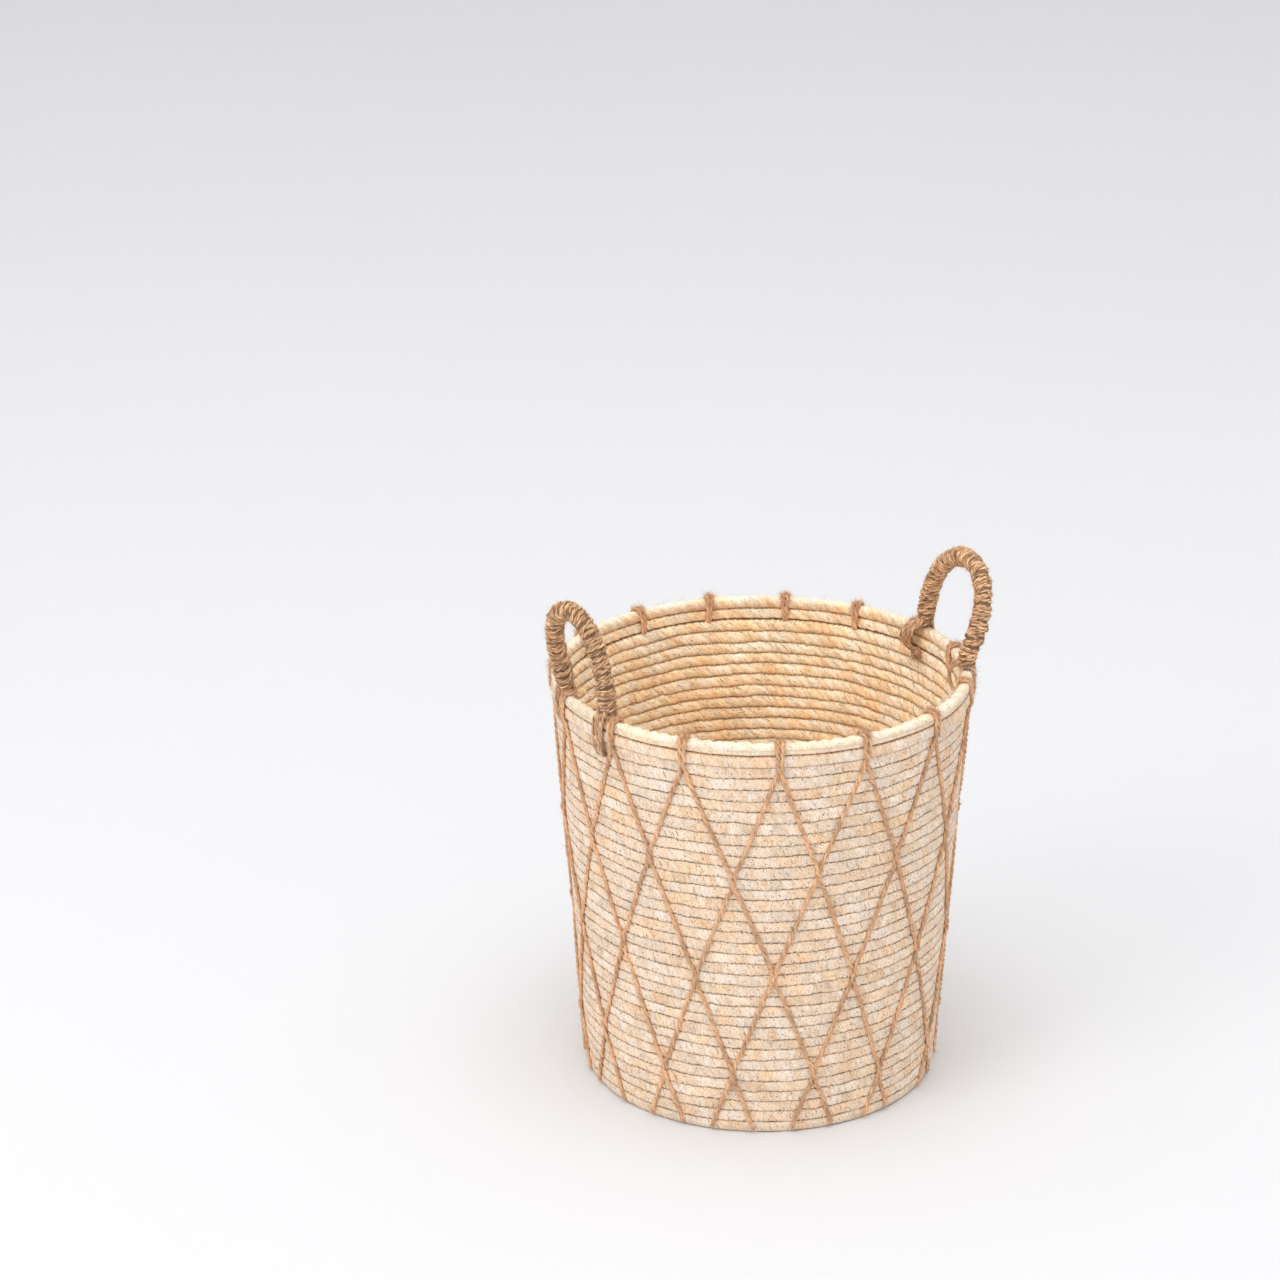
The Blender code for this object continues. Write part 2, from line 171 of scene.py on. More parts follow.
# ---- node helpers ----
class Shader:
    """A Principled material with short calls for the nodes that the materials here use."""

    def __init__(self, name, roughness, sheen=0.0, specular=0.3):
        self.material = bpy.data.materials.new(name)
        self.material.use_nodes = True
        self.tree = self.material.node_tree
        self.principled = self.tree.nodes["Principled BSDF"]
        for key, value in (("Roughness", roughness), ("Specular IOR Level", specular),
                           ("Sheen Weight", sheen)):
            self.principled.inputs[key].default_value = value

    def put(self, socket, value):
        """Link a node output to a socket, or set the socket's value."""
        if isinstance(value, bpy.types.NodeSocket):
            self.tree.links.new(value, socket)
        else:
            socket.default_value = value

    def node(self, kind, inputs=(), **settings):
        """Add a node with its settings and its (socket, value or node output) inputs."""
        node = self.tree.nodes.new("ShaderNode" + kind)
        for key, value in settings.items():
            setattr(node, key, value)
        for socket, value in inputs:
            self.put(node.inputs[socket], value)
        return node

    def attribute(self, name, output="Color"):
        """A value stored on the mesh's points."""
        return self.node("Attribute", attribute_name=name).outputs[output]

    def scaled(self, vector, factors):
        """A vector multiplied by three factors."""
        inputs = (0, vector), (1, factors)
        return self.node("VectorMath", inputs, operation="MULTIPLY").outputs["Vector"]

    def sheared(self, vector, slant):
        """Grain coordinates moved along the rope in step with their height in the row."""
        x, y, z = self.node("SeparateXYZ", ((0, vector),)).outputs
        moved = self.node("Math", ((0, y), (1, slant), (2, x)), operation="MULTIPLY_ADD")
        return self.node("CombineXYZ", ((0, moved.outputs[0]), (1, y), (2, z))).outputs[0]

    def noise(self, vector, scale, detail=2.0, rough=0.5):
        """Noise from 0 to 1."""
        inputs = ("Vector", vector), ("Scale", scale), ("Detail", detail), ("Roughness", rough)
        return self.node("TexNoise", inputs).outputs["Fac"]

    def ramp(self, value, *stops):
        """Colours along a value: (position, brightness or colour) stops."""
        node = self.node("ValToRGB", (("Fac", value),))
        elements = node.color_ramp.elements
        while len(elements) < len(stops):
            elements.new(0.5)
        for element, (position, colour) in zip(elements, stops):
            element.position = position
            element.color = (*colour, 1.0) if isinstance(colour, tuple) else (colour,) * 3 + (1.0,)
        return node.outputs["Color"]

    def mixed(self, factor, first, second, blend="MIX"):
        """A blend of two colours."""
        inputs = (0, factor), (6, first), (7, second)
        return self.node("Mix", inputs, data_type="RGBA", blend_type=blend).outputs[2]

    def times(self, first, second):
        """Two colours multiplied."""
        return self.mixed(1.0, first, second, "MULTIPLY")

    def bump(self, height, distance, strength, *below):
        """A bump of a given height in metres, over another one."""
        inputs = ("Distance", distance), ("Strength", strength), ("Height", height)
        over = (("Normal", normal) for normal in below)
        return self.node("Bump", (*inputs, *over)).outputs["Normal"]

    def finish(self, colour, normal=None, roughness=None):
        """Connect colour, bump and roughness."""
        for name, value in (("Base Color", colour), ("Normal", normal), ("Roughness", roughness)):
            if value is not None:
                self.put(self.principled.inputs[name], value)
        return self.material


PLAIN = (1.0, 1.0, 1.0)
SLIT_COLOUR = (0.36, 0.225, 0.125, 1.0)
FLECK_COLOUR = (0.24, 0.15, 0.09, 1.0)


def husk_material(name, base, slant, roughness=0.72, sheen=0.08, fibre=0.20, slit=0.75,
                  fleck=1.0, fleck_start=0.676):
    """Dried husk: torn strips with fibres, thin slits along the lay, small dark flecks.

    The slant is that of the lay; fibre, slit and fleck are strengths, and a lower start gives
    more flecks."""
    shader = Shader(name, roughness, sheen)
    grain = shader.attribute("grain", "Vector")
    tint = shader.attribute("tint")
    laid = shader.sheared(grain, slant)
    fibres = shader.noise(shader.scaled(laid, (1.0, 0.14, 1.0)), 1500.0, 3.0, 0.6)
    strips = shader.noise(shader.scaled(laid, (1.0, 0.30, 1.0)), 240.0, 2.0, 0.55)
    slits = shader.noise(shader.scaled(laid, (1.0, 0.17, 1.0)), 820.0, 1.0, 0.45)
    blotch = shader.noise(grain, 75.0, 2.0, 0.5)
    speckle = shader.noise(grain, 1150.0, 2.0, 0.6)
    steep = shader.sheared(grain, 2.2 * slant)
    specks = shader.noise(shader.scaled(steep, (1.0, 0.42, 1.0)), 900.0, 1.0, 0.4)
    colour = shader.times((*base, 1.0), tint)
    for pattern, *stops in (
            (blotch, (0.30, (1.06, 0.98, 0.90)), (0.52, PLAIN), (0.72, (0.98, 1.02, 1.08))),
            (strips, (0.32, (0.93, 0.86, 0.78)), (0.50, PLAIN), (0.68, (1.04, 1.06, 1.08))),
            (fibres, (0.28, 1.0 - 1.5 * fibre), (0.48, 1.0), (0.66, 1.0 + 0.4 * fibre)),
            (speckle, (0.34, (0.66, 0.56, 0.46)), (0.44, PLAIN), (0.60, (1.06, 1.09, 1.13)))):
        colour = shader.times(colour, shader.ramp(pattern, *stops))
    colour = shader.mixed(shader.ramp(slits, (0.685, 0.0), (0.725, slit)), colour, SLIT_COLOUR)
    flecks = shader.ramp(specks, (fleck_start, 0.0), (fleck_start + 0.036, fleck))
    colour = shader.mixed(flecks, colour, FLECK_COLOUR)
    normal = shader.bump(speckle, 0.00012, 0.8)
    normal = shader.bump(fibres, 0.00025, 0.9, normal)
    normal = shader.bump(strips, 0.00055, 0.9, normal)
    rough = shader.ramp(strips, (0.3, roughness + 0.08), (0.7, roughness - 0.12))
    return shader.finish(colour, normal, rough)


def jute_material(name, light, dark, low=0.34, high=0.60):
    """Spun jute: light fibres along the yarn, dark below low and light above high."""
    shader = Shader(name, 0.88, 0.12, 0.2)
    grain = shader.attribute("grain", "Vector")
    tint = shader.attribute("tint")
    fibres = shader.noise(shader.scaled(grain, (0.10, 1.0, 1.0)), 1900.0, 3.0, 0.6)
    blotch = shader.noise(shader.scaled(grain, (1.0, 0.4, 1.0)), 160.0, 2.0, 0.5)
    fine = shader.noise(grain, 3000.0, 2.0, 0.6)
    share = shader.ramp(fibres, (low, 0.0), (high, 1.0))
    colour = shader.mixed(share, (*dark, 1.0), (*light, 1.0))
    colour = shader.times(colour, shader.ramp(
        blotch, (0.32, (0.84, 0.80, 0.76)), (0.52, PLAIN), (0.70, (1.0, 0.98, 0.95))))
    colour = shader.times(colour, tint)
    normal = shader.bump(fine, 0.0001, 0.6)
    normal = shader.bump(fibres, 0.00035, 1.0, normal)
    return shader.finish(colour, normal)


def floor_material():
    """Matt white studio floor with a faint unevenness."""
    shader = Shader("studio_floor", 0.9, 0.0, 0.1)
    cloud = shader.noise(shader.node("TexCoord").outputs["Object"], 0.8)
    shade = shader.ramp(cloud, (0.3, (0.755, 0.756, 0.772)), (0.7, (0.767, 0.768, 0.784)))
    return shader.finish(shade)


# ---- mesh helpers ----
def grid_faces(rows, columns, wrap_rows, wrap_columns):
    """Quads of a grid of points, closed in either direction."""
    index = np.arange(rows * columns).reshape(rows, columns)
    if wrap_rows:
        index = np.vstack((index, index[:1]))
    if wrap_columns:
        index = np.hstack((index, index[:, :1]))
    return np.stack((index[:-1, :-1], index[:-1, 1:], index[1:, 1:], index[1:, :-1]),
                    -1).reshape(-1, 4)


class Piece:
    """Points, quads, tints and grain coordinates gathered for one object."""

    def __init__(self):
        self.points, self.faces, self.tints, self.grains, self.slots = [], [], [], [], []
        self.count = 0

    def add(self, points, faces, tint, grain, slots=0):
        """Add a skin; its faces are turned outwards by its signed volume.  The tint is one
        colour or one for each point, and slots one material index or one for each face."""
        points = points.reshape(-1, 3)
        corners = points[faces]
        volume = np.einsum("ij,ij->", corners[:, 0] - points.mean(0),
                           np.cross(corners[:, 1] - corners[:, 0], corners[:, 2] - corners[:, 0]))
        if volume < 0:
            faces = faces[:, ::-1]
        self.points.append(points)
        self.faces.append(faces + self.count)
        self.tints.append(np.broadcast_to(np.reshape(tint, (-1, 3)), points.shape))
        self.grains.append(grain.reshape(-1, 3))
        self.slots.append(np.broadcast_to(slots, len(faces)))
        self.count += len(points)

    def build(self, name, *materials):
        """Make the object."""
        points = np.vstack(self.points)
        faces = np.vstack(self.faces)
        rgba = np.hstack((np.vstack(self.tints), np.ones((len(points), 1))))
        mesh = bpy.data.meshes.new(name)
        mesh.vertices.add(len(points))
        mesh.loops.add(faces.size)
        mesh.polygons.add(len(faces))
        mesh.attributes.new("tint", "FLOAT_COLOR", "POINT")
        mesh.attributes.new("grain", "FLOAT_VECTOR", "POINT")
        for target, key, values, kind in (
                (mesh.vertices, "co", points, np.float32),
                (mesh.loops, "vertex_index", faces, np.int32),
                (mesh.polygons, "loop_start", np.arange(0, faces.size, 4), np.int32),
                (mesh.polygons, "use_smooth", np.ones(len(faces)), bool),
                (mesh.polygons, "material_index", np.concatenate(self.slots), np.int32),
                (mesh.attributes["tint"].data, "color", rgba, np.float32),
                (mesh.attributes["grain"].data, "vector", np.vstack(self.grains), np.float32)):
            target.foreach_set(key, values.astype(kind).ravel())
        mesh.update(calc_edges=True)
        for material in materials:
            mesh.materials.append(material)
        obj = bpy.data.objects.new(name, mesh)
        bpy.context.scene.collection.objects.link(obj)
        return obj


TUBE_APART = 0.37              # shift of the grain from one tube to the next


def travel(paths):
    """Distance gone at each point of one or more paths."""
    steps = np.cumsum(np.linalg.norm(np.diff(paths, axis=-2), axis=-1), axis=-1)
    return np.concatenate((np.zeros((*steps.shape[:-1], 1)), steps), -1)


def unit(vectors):
    """Vectors of length one."""
    return vectors / np.maximum(np.linalg.norm(vectors, axis=-1, keepdims=True), 1e-9)


def stacked(*parts):
    """Arrays put side by side as the last axis of one."""
    return np.stack(np.broadcast_arrays(*parts), -1)


def cylinder_points(angle, radius, z):
    """Points from angles, radii and heights."""
    return stacked(radius * np.cos(angle), radius * np.sin(angle), z)


def tubes(piece, paths, radii, normals, sides, tint, flat=1.0, grain_start=0.0):
    """Add tubes along paths (m, n, 3); flat squeezes the sections along the normals."""
    tangent = unit(np.gradient(paths, axis=1))
    across = unit(np.cross(tangent, normals))
    up = np.cross(across, tangent)
    turn = np.arange(sides) * TAU / sides
    ring = (across[:, :, None, :] * np.cos(turn)[:, None]
            + up[:, :, None, :] * (flat * np.sin(turn))[:, None])
    points = paths[:, :, None, :] + ring * radii[:, :, None, None]
    m, n = paths.shape[:2]
    index = np.arange(m * n * sides).reshape(m, n, sides)
    a, c = index[:, :-1], index[:, 1:]
    faces = np.stack((a, c, np.roll(c, -1, 2), np.roll(a, -1, 2)), -1).reshape(-1, 4)
    apart = np.arange(m)[:, None, None] * TUBE_APART
    grain = stacked(travel(paths)[..., None] + apart + grain_start,
                    np.cos(turn) * radii[:, :, None],
                    np.sin(turn) * radii[:, :, None] + grain_start)
    tint = np.broadcast_to(np.asarray(tint)[..., None, :], (m, n, sides, 3))
    piece.add(points, faces, tint, grain)


def fibres(piece, rng, start, heading, bend, size, normal, thickness, spread=(0.7, 1.3), steps=4,
           thinning=0.7, sides=3, pale=0.05, uneven=0.10):
    """Add short curved fibres: where each starts, its direction, bend and length."""
    part = np.linspace(0, 1, steps)[:, None]
    paths = start[:, None] + size[:, None, None] * (heading[:, None] * part
                                                    + bend[:, None] * part ** 2)
    radii = thickness * rng.uniform(*spread, len(size))[:, None] * (1 - thinning * part[:, 0])
    tint = 1 + rng.normal(pale, uneven, (len(size), 1, 1))
    tubes(piece, paths, radii, np.broadcast_to(normal, paths.shape), sides, tint)


def closed_wave(rng, low, high, angles=ANGLES):
    """A random wave that closes round the basket, with a spread of about one."""
    orders = np.arange(low, high + 1)
    shares = rng.normal(size=(2, len(orders))) / math.sqrt(len(orders))
    turn = np.outer(orders, angles)
    return shares[0] @ np.cos(turn) + shares[1] @ np.sin(turn)


# ---- husk coils ----
HUSK_TINTS = np.array(((1.0, 1.0, 1.0), (1.04, 1.05, 1.07), (1.06, 1.10, 1.16), (1.03, 0.96, 0.88),
                       (0.97, 0.88, 0.78), (1.05, 1.02, 0.93)))
SIDES = {                      # rows are flat outside and round, like a twisted rope, inside
    # the furrow keys and foot_shade give painted shade: in the furrows between rows and, inside,
    # on each row's lower part
    "outside": {
        "shares": (0.34, 0.26, 0.14, 0.13, 0.04, 0.09), "slant": (0.10, 0.25),
        "twist": 0.00010, "tilt": 0.7 * TAU, "shading": 0.02, "dash": 0.75,
        "groove": (0.055, 0.32, 0.68), "groove_colour": (0.76, 0.85, 0.93), "foot_shade": 0.0,
        "stitch_spacing": 0.0088, "stitched": 0.75, "stitch_reach": (0.0011, 0.0019),
        "stitch_lean": (0.0007, 0.0006),
        "stitch_depth": (0.0009, 0.0001, -0.00002, 0.0001, 0.0009)},
    "inside": {
        "shares": (0.34, 0.18, 0.06, 0.20, 0.12, 0.10), "slant": (-0.75, 0.15),
        "twist": 0.00040, "tilt": -TAU, "shading": 0.05, "dash": 1.30,
        "groove": (0.060, 0.22, 0.78), "groove_colour": (0.62, 0.75, 0.86), "foot_shade": 0.10,
        "stitch_spacing": 0.0092, "stitched": 0.85, "stitch_reach": (0.0016, 0.0026),
        "stitch_lean": (0.0013, 0.0004),
        "stitch_depth": (0.0010, 0.0011, 0.0013, 0.0011, 0.0010)}}
INSIDE_TINT = np.array((1.08, 1.11, 1.12))
# painted shade for the underside of the upper rim rope
RIM_UNDERSIDE_SHADE = np.array((1.0, 0.90, 0.80))
STRIP_LENGTH = (0.0045, 0.0150)


def face_radius(z):
    """Radius of the wall's outer face at height z."""
    return np.interp(z, PROFILE_Z, PROFILE_R)


def settle(obj, body, slot, *nodes):
    """The piece rides on a body and stands for the named solids."""
    if body is not None:
        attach(obj, body)
    if nodes:
        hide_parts(*nodes)


def row_edges(rng):
    """Heights of the furrows between rows, round the basket: (ROWS + 1, COLUMNS)."""
    edges = np.repeat((np.arange(ROWS + 1) * PITCH)[:, None], COLUMNS, 1)
    drift = rng.normal(0, 0.00042, ROWS + 1)
    shared = np.zeros(COLUMNS)
    for k in range(1, ROWS):
        shared = 0.72 * shared + 0.00028 * closed_wave(rng, 2, 14)
        own = 0.00018 * closed_wave(rng, 8, 60) + 0.00014 * closed_wave(rng, 90, 300)
        own = own + 0.00013 * np.repeat(rng.normal(size=COLUMNS // 8), 8)
        weight = min(1.0, k / 2) * (0.35 if k >= ROWS - RIM_ROWS else 1.0)
        edges[k] += weight * (drift[k] + shared + own)
    return edges


def husk_row(rng, v, radius, side, angles=ANGLES):
    """Relief, tint and furrow dashes of one row: torn strips laid round a twisted rope.

    v runs from the lower furrow, 0, to the upper one, 1."""
    look = SIDES[side]
    height = v[:, None] - 0.5
    around = TAU * radius
    lengths = rng.uniform(*STRIP_LENGTH, int(around / 0.0095))
    cuts = np.concatenate(((0.0,), np.cumsum(lengths)))
    cuts *= around / cuts[-1]
    count = len(cuts) - 1
    slant = rng.normal(*look["slant"])
    warp = 0.0012 * closed_wave(rng, 6, 40, angles)
    place = (angles * radius + warp + slant * PITCH * height) % around
    index = np.clip(np.searchsorted(cuts, place, side="right") - 1, 0, count - 1)
    left, right = place - cuts[index], cuts[index + 1] - place
    kinds = rng.choice(len(HUSK_TINTS), count, p=look["shares"])
    tints = HUSK_TINTS[kinds] * (1 + rng.normal(0, 0.035, (count, 1)))
    steps = rng.normal(0, 0.00014, count)
    blend = np.clip(left / 0.0009, 0, 1)
    crease = np.exp(-(np.minimum(left, right) / 0.0006) ** 2)
    relief = steps[index - 1] * (1 - blend) + steps[index] * blend - 0.00012 * crease
    waves = max(1, round(around / rng.uniform(0.0085, 0.0110)))
    phase = waves * angles + 1.1 * closed_wave(rng, 5, 30, angles)
    twist = np.cos(phase[None, :] + look["tilt"] * height)
    relief = relief + look["twist"] * twist
    soft = np.clip(left / 0.0028, 0, 1)[..., None]
    tint = tints[index - 1] * (1 - soft) + tints[index] * soft
    # painted shade in the creases between strips, and painted light and shade along the rope's
    # twist
    tint = tint * (1 - 0.06 * crease + look["shading"] * twist)[..., None]
    if side == "inside":
        warm = np.clip(0.55 * closed_wave(rng, 3, 26, angles), 0, 1)[None, :, None]
        tint = tint * (1 - warm * np.array((0.00, 0.09, 0.21)))
    dash = np.clip(0.55 + look["dash"] * closed_wave(rng, 110, 330, angles)
                   + 0.45 * closed_wave(rng, 6, 50, angles), 0.0, 1.0)
    return relief, tint, dash


def groove_shade(v, dash, side):
    """Painted shade towards the furrows, broken into dashes, and inside on each row's lower part.
    """
    look = SIDES[side]
    width, least, more = look["groove"]
    away = np.minimum(v, 1 - v)[:, None]
    dark = np.exp(-(away / width) ** 2) * (least + more * dash[None, :])
    dark = dark + look["foot_shade"] * np.clip(1 - v[:, None] / 0.40, 0, 1)
    return 1 - np.clip(dark, 0, 1)[..., None] * look["groove_colour"]


def coil_side(rng, row, v, edges, side, top=False):
    """Points, tints and grain of one side of one wall row, from its lower furrow upwards."""
    if top:
        v = np.append(v, 1.0)
    low, high = edges[row], edges[row + 1]
    middle = face_radius((row + 0.5) * PITCH)
    relief, tint, dash = husk_row(rng, v, middle, side)
    z = low + (high - low) * v[:, None]
    radius = face_radius(z)
    span = np.abs(2 * v[:, None] - 1)
    if side == "outside":
        depth = 0.0003 + 0.0007 * dash[None, :]
        radius = radius - depth * span ** 7 + relief * (1 - span ** 6)
    else:
        tint = tint * INSIDE_TINT
        radius = radius - WALL_THICKNESS + 0.0019 * span ** 4.2 - relief * (1 - span ** 4)
    if row == 0:
        z = np.maximum(z, 0.0)
    grain = stacked(ANGLES * middle + (0.0 if side == "outside" else 3.1) + 1.37 * row,
                    v[:, None] * PITCH, 0.11 * row)
    return cylinder_points(ANGLES, radius, z), tint * groove_shade(v, dash, side), grain


def wall_band(rng, name, first, last, edges, *materials):
    """Rows first..last-1 of the wall: a closed band, flat-faced outside and round inside."""
    parts = [coil_side(rng, row, OUTSIDE_V, edges, "outside", row == last - 1)
             for row in range(first, last)]
    for row in range(last - 1, first - 1, -1):
        part = coil_side(rng, row, INSIDE_V, edges, "inside", row == last - 1)
        parts.append(tuple(values[::-1] for values in part))
    points, tint, grain = (np.vstack([part[i] for part in parts]) for i in range(3))
    outside = len(OUTSIDE_V) * (last - first) + 1
    slots = np.repeat(np.arange(len(points)) >= outside, COLUMNS)
    piece = Piece()
    piece.add(points, grid_faces(len(points), COLUMNS, True, True), tint, grain, slots)
    settle(piece.build(name, *materials), "basket", "husk_wall", "wall_coil")


RIM_SIDES = 28
FLAT_POWER = 2 / 4.6           # outline of a rim row: nearly square, or
ROUND_POWER = 2 / 2.2          # round, or
ROPE_POWER = 2 / 2.4           # nearly round


def rim_ropes(rng, edges, *materials):
    """The two rim rows lying on each other: the upper one a bright plump rope, the lower one
    like the wall's rows, flat outside and round inside."""
    piece = Piece()
    turn = (np.arange(RIM_SIDES) + 0.5) * TAU / RIM_SIDES
    for row in (ROWS - 2, ROWS - 1):
        low, high = edges[row], edges[row + 1]
        centre = (low + high) / 2
        half = (high - low) / 2 + 0.00008
        lower_row = row == ROWS - 2
        if lower_row:
            x_power, y_power = np.where(np.cos(turn) > 0, FLAT_POWER, ROUND_POWER), FLAT_POWER
        else:
            x_power = y_power = ROPE_POWER
        x = np.sign(np.cos(turn)) * np.abs(np.cos(turn)) ** x_power
        y = np.sign(np.sin(turn)) * np.abs(np.sin(turn)) ** y_power
        v = (y + 1) / 2
        outer, tint_out, dash = husk_row(rng, v, RIM_OUTER, "outside")
        inner, tint_in, _ = husk_row(rng, v, RIM_OUTER - 2 * RIM_HALF, "inside")
        share = np.clip(0.5 + 1.6 * x, 0, 1)[:, None, None]
        if lower_row:
            relief = outer * share[..., 0] + inner * (1 - share[..., 0])
            tint_in = tint_in * INSIDE_TINT
        else:
            share = share * 0.35
            smooth = np.clip(0.45 + 1.2 * x, 0, 1)[:, None, None]
            relief = outer * 0.5 + inner * (1.0 - 0.85 * smooth[..., 0])
            tint_in = tint_in * (1 - smooth) + (0.5 + 0.5 * tint_out) * smooth
            # painted shade: the upper rope darker and browner towards its underside; painted
            # light: a little lighter on top
            below = np.clip(0.6 - 0.7 * y, 0, 1)[:, None, None]
            tint_in = (0.2 + 0.8 * tint_in) * (RIM_UNDERSIDE_SHADE * below + 1.04 * (1 - below))
        tint = tint_out * share + tint_in * (1 - share)
        # painted shade along the bottom of each rim row and between the two rows, broken into
        # dashes
        low_furrow_shade = np.exp(-((y + 1) / 0.14) ** 2)[:, None]
        high_furrow_shade = lower_row * np.exp(-((1 - y) / 0.14) ** 2)[:, None]
        dark = (low_furrow_shade + high_furrow_shade) * (0.25 + 0.75 * dash)
        tint = tint * (1 - dark[..., None] * np.array((0.46, 0.57, 0.66)))
        sway = 0.00035 * closed_wave(rng, 3, 18)
        thick = RIM_HALF - 0.0003 + relief
        lift = half + np.where((y[:, None] > 0.3) & (not lower_row), relief, 0.0) - 0.00012
        radius = RIM_MID + sway * 0.5 + x[:, None] * thick
        z = centre + y[:, None] * lift
        grain = stacked(ANGLES * RIM_MID + 5.3 + row,
                        (v if lower_row else turn / math.pi)[:, None] * PITCH, 0.4 + 0.1 * row)
        side_slot = np.where(np.roll(np.cos(turn), -1) + np.cos(turn) > 0, 1, 2)
        slots = np.repeat(side_slot * lower_row, COLUMNS)
        piece.add(cylinder_points(ANGLES, radius, z), grid_faces(RIM_SIDES, COLUMNS, True, True),
                  tint, grain, slots)
    settle(piece.build("rim_ropes", *materials), "basket", "husk_rim", "rim_coil")


BASE_TURNS = 14


def base_spiral(rng, material):
    """The sewn spiral of the base, seen from above through the mouth."""
    columns = COLUMNS // 2
    angles = np.linspace(0, TAU, columns + 1)
    step = BASE_RADIUS / BASE_TURNS
    v = INSIDE_V
    span = np.abs(2 * v[:, None] - 1)
    skins = []
    for upper in (True, False):
        points, tints = [], []
        for ring in range(BASE_TURNS + 1):
            middle = max(0.012, (ring + 0.5) * step)
            relief, tint, dash = husk_row(rng, v, middle, "inside", angles)
            distance = (ring - 1 + v[:, None] + angles / TAU) * step
            depth = 0.0021 * span ** 2.4 - relief * (1 - span ** 4)
            z = BASE_THICKNESS - depth if upper else depth * 0.6
            distance = np.clip(distance, 0.0003, BASE_RADIUS)
            points.append(cylinder_points(angles, distance, np.maximum(z, 0.0)))
            tints.append(tint * groove_shade(v, dash, "inside"))
        skins.append((np.vstack(points), np.vstack(tints)))
    (top, top_tints), (bottom, bottom_tints) = skins
    points = np.vstack((top, bottom[::-1]))
    distance = np.hypot(points[..., 0], points[..., 1])
    grain = stacked(angles * np.maximum(distance, 0.01) + 7.7, distance, 0.7)
    piece = Piece()
    piece.add(points, grid_faces(len(points), columns + 1, True, False),
              np.vstack((top_tints, bottom_tints[::-1])), grain)
    settle(piece.build("base_spiral", material), "basket", "husk_base", "base_coil")


STITCH_PARTS = np.array((-1.0, -0.45, 0.1, 0.55, 1.0))       # along a stitch, from its middle
STITCH_WIDTHS = np.array((0.5, 1.0, 1.1, 1.0, 0.5))


def sewing(rng, name, edges, side, rows, material):
    """Short slanted stitches of the thread that sews each row to the one below."""
    look = SIDES[side]
    sign, inset = (1.0, 0.0) if side == "outside" else (-1.0, WALL_THICKNESS)
    paths, normals, radii = [], [], []
    for row in rows:
        radius = face_radius(row * PITCH) - inset
        count = int(TAU * radius / look["stitch_spacing"])
        angle = (np.arange(count) + rng.uniform(0, 1) + rng.uniform(-0.22, 0.22, count)) \
            * TAU / count
        angle = angle[rng.uniform(size=count) < look["stitched"]]
        z0 = np.interp(angle % TAU, ANGLES, edges[row])
        reach = rng.uniform(*look["stitch_reach"], len(angle))
        lean = rng.normal(*look["stitch_lean"], len(angle))
        z = z0[:, None] + reach[:, None] * STITCH_PARTS
        turn = angle[:, None] + lean[:, None] * STITCH_PARTS / radius
        out = face_radius(z) - inset - sign * np.array(look["stitch_depth"])
        paths.append(cylinder_points(turn, out, z))
        normals.append(sign * cylinder_points(turn, 1.0, 0.0 * z))
        radii.append(rng.uniform(0.00026, 0.00040, len(angle))[:, None] * STITCH_WIDTHS)
    paths, normals, radii = (np.concatenate(values) for values in (paths, normals, radii))
    piece = Piece()
    tubes(piece, paths, radii, normals, 5, 1 + rng.normal(0, 0.06, (len(paths), 1, 1)))
    settle(piece.build(name, material), "basket", "husk_wall")


WHISKERS = 3200                # on the rim, and as many on the wall


def husk_whiskers(rng, material):
    """Fine torn fibres that stand off the rim and the furrows."""
    angle = rng.uniform(0, TAU, WHISKERS)
    lean = rng.uniform(-1.9, 1.9, WHISKERS)
    out = cylinder_points(angle, np.sin(lean), np.cos(lean))
    top = BODY_HEIGHT - PITCH / 2 + (PITCH / 2 - 0.0003) * np.cos(lean)
    foot = cylinder_points(angle, RIM_MID + RIM_HALF * np.sin(lean), top)
    size = rng.gamma(3.0, 0.0011, WHISKERS)
    wall_angle = rng.uniform(0, TAU, WHISKERS)
    row = rng.integers(1, ROWS - 2, WHISKERS)
    z = row * PITCH + rng.normal(0, 0.0016, WHISKERS)
    out = np.vstack((out, cylinder_points(wall_angle, 1.0, np.zeros(WHISKERS))))
    foot = np.vstack((foot, cylinder_points(wall_angle, face_radius(z) - 0.0004, z)))
    size = np.concatenate((size, rng.gamma(3.0, 0.0008, WHISKERS)))
    drift = unit(rng.normal(size=foot.shape))
    curl = rng.normal(0, 0.35, foot.shape)
    piece = Piece()
    fibres(piece, rng, foot, out * 0.45 + drift * 0.8, curl, size, out[:, None], 0.00009,
           spread=(0.7, 1.4), steps=5)
    settle(piece.build("husk_whiskers", material), "basket", "husk_wall")


# ---- jute lattice ----
PAIR_SHIFT = PAIR_OFFSET / 0.1445 * 0.55     # angle between an anchor and its diagonals' tops
CROSSING_GAP = 0.00115         # half the distance of two diagonals pulled together
TWIST_PITCH = 0.0105           # one turn of the plies in twine and yarn


def run_angle(start, end, z):
    """Angle of a straight diagonal at height z."""
    return start + (end - start) * (SPLIT_Z - z) / (SPLIT_Z - END_Z)


def lattice_runs():
    """The thirty diagonals: (strand, sign, start, end) in radians."""
    runs = []
    for number, degrees in enumerate(STRANDS):
        anchor, left, right = (math.radians(value) for value in degrees)
        runs += [(number, -1, anchor - PAIR_SHIFT, left), (number, 1, anchor + PAIR_SHIFT, right)]
    return runs


